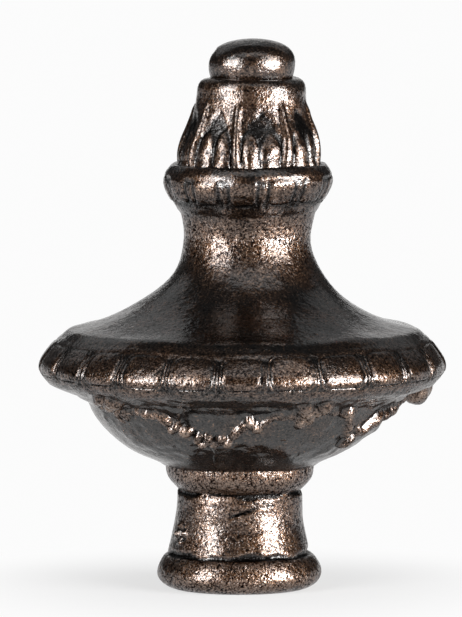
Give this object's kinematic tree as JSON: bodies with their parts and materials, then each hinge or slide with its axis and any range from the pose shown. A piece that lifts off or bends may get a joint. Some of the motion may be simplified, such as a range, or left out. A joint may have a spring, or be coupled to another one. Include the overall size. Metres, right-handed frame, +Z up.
{
  "type": "table lamp finial",
  "caption": "Cast metal lamp finial: ring foot with a blind stud socket, bowl with garlands, egg-moulded rim, flared neck, ribbed bell and flat button, in antique dark bronze",
  "frame": {"origin": "centre of the underside, on the socket's axis, where the finial stands", "axes": "+Z up along the socket's axis, -Y towards the front of the picture, +X to the picture's right, where the casting leans slightly"},
  "size_m": [0.0378, 0.0378, 0.0508],
  "materials": {
    "antique_bronze": "antique dark bronze plating, nearly black in the hollows, with fine copper-brown mottling that glints on the high spots"
  },
  "bodies": {
    "root": {"finial": "antique_bronze"}
  },
  "joints": []
}
